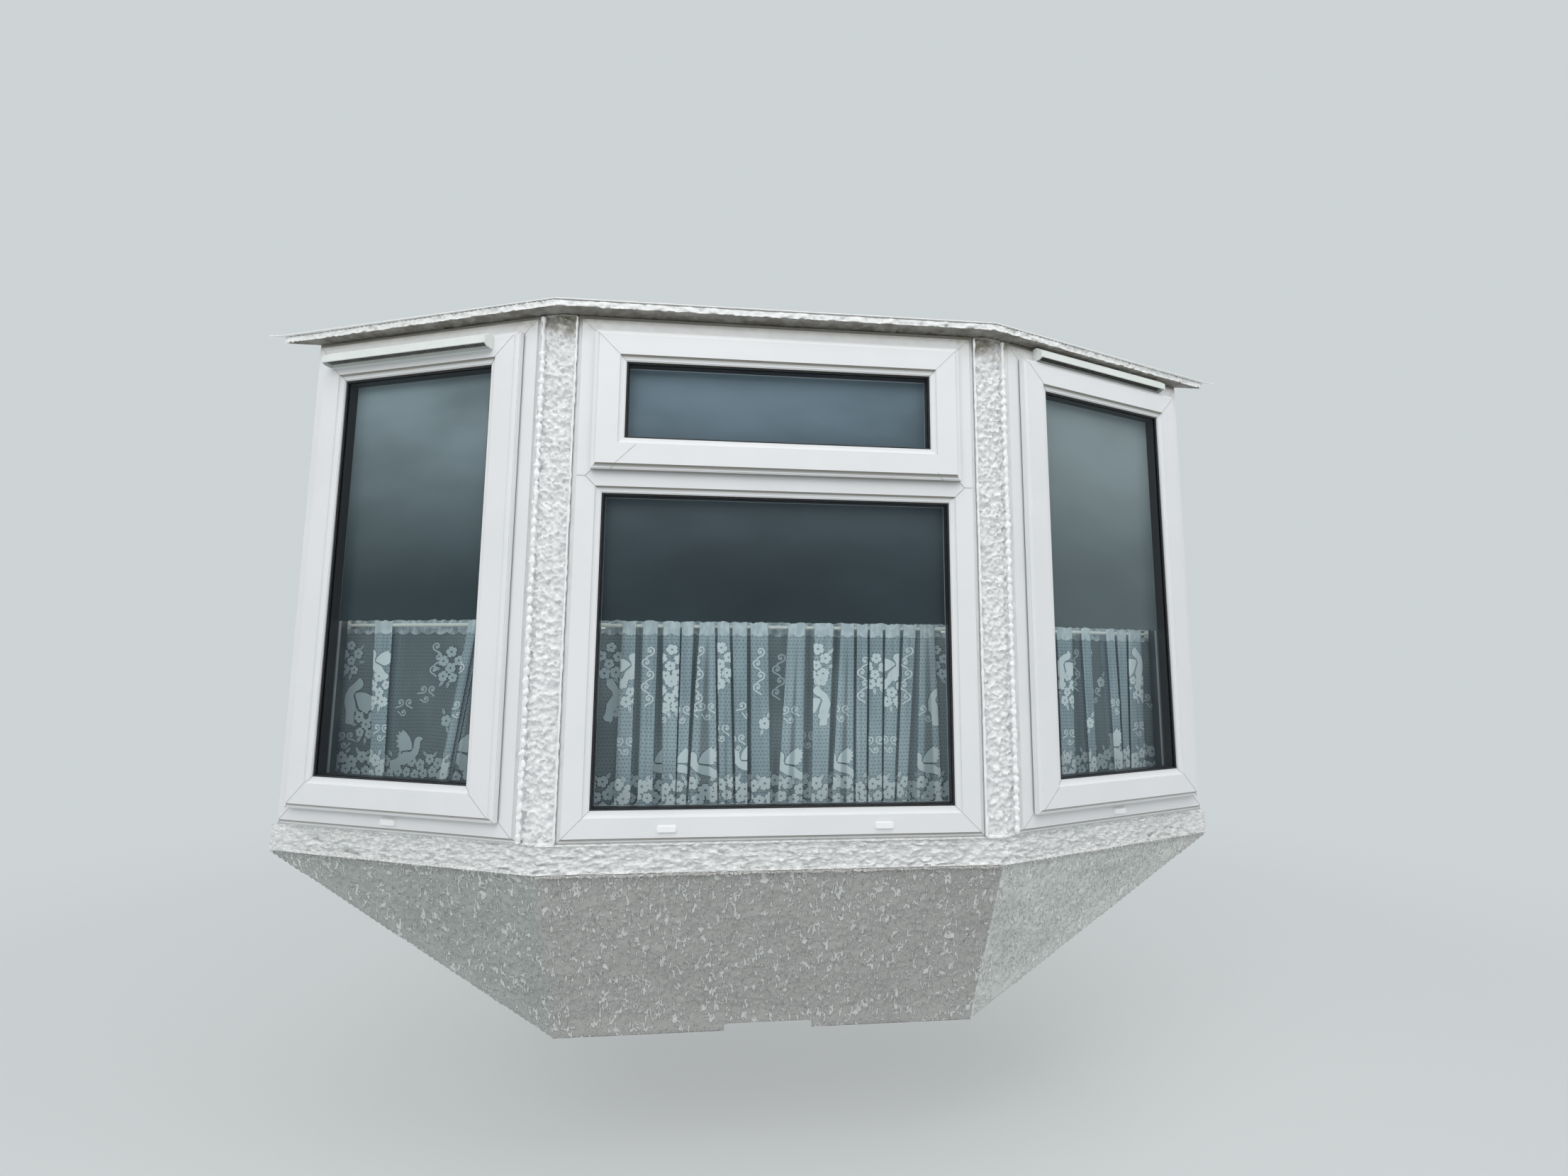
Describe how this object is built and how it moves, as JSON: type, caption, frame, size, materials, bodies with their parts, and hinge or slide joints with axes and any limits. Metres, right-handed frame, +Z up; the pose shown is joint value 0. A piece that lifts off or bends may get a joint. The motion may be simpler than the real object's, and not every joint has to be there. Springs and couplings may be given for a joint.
{
  "type": "bay window",
  "caption": "Canted bay window with a fixed light, a top-hung fanlight, side casements, a rendered hood and a tapered rendered base.",
  "frame": {"origin": "middle of the back face of the back frame's bottom rail, on the mounting plane", "axes": "+X to the right along the wall as seen from outside, +Y into the building, +Z up; the front faces -Y"},
  "size_m": [2.4114, 0.3233, 1.5935],
  "materials": {
    "render": "rough textured masonry paint, white",
    "strip": "painted thin strip",
    "timber": "sawn softwood",
    "board": "white inside board",
    "upvc": "white window profile, satin gloss",
    "seal": "black rubber",
    "glass": "clear sealed double glazing",
    "spacer": "mill finish",
    "sealant": "white sealant",
    "vent": "white vent hood",
    "grille": "dark grille",
    "handle": "white handle",
    "rod": "white enamel",
    "net": "white net lace"
  },
  "bodies": {
    "root": {"hood_board": "render", "drip_strip": "strip", "post_left": "render", "post_right": "render", "apron_band": "render", "base_left": "render", "base_centre": "render", "base_right": "render", "base_batten": "timber", "back_frame": "timber", "bay_floor": "timber", "window_board": "board", "head_lining": "board", "frame_left": "upvc", "frame_centre": "upvc", "frame_right": "upvc", "sash_left": "upvc", "sash_fanlight": "upvc", "sash_right": "upvc", "sash_seals": "seal", "glass_left": "glass", "glass_fanlight": "glass", "glass_fixed": "glass", "glass_right": "glass", "spacers": "spacer", "gaskets": "seal", "beads": "upvc", "sealant": "sealant", "vent_left": "vent", "vent_right": "vent", "vent_grilles": "grille", "drain_caps": "upvc", "handles": "handle", "rods": "rod", "rod_brackets": "rod", "curtain_left": "net", "curtain_centre": "net", "curtain_right": "net"}
  },
  "joints": []
}
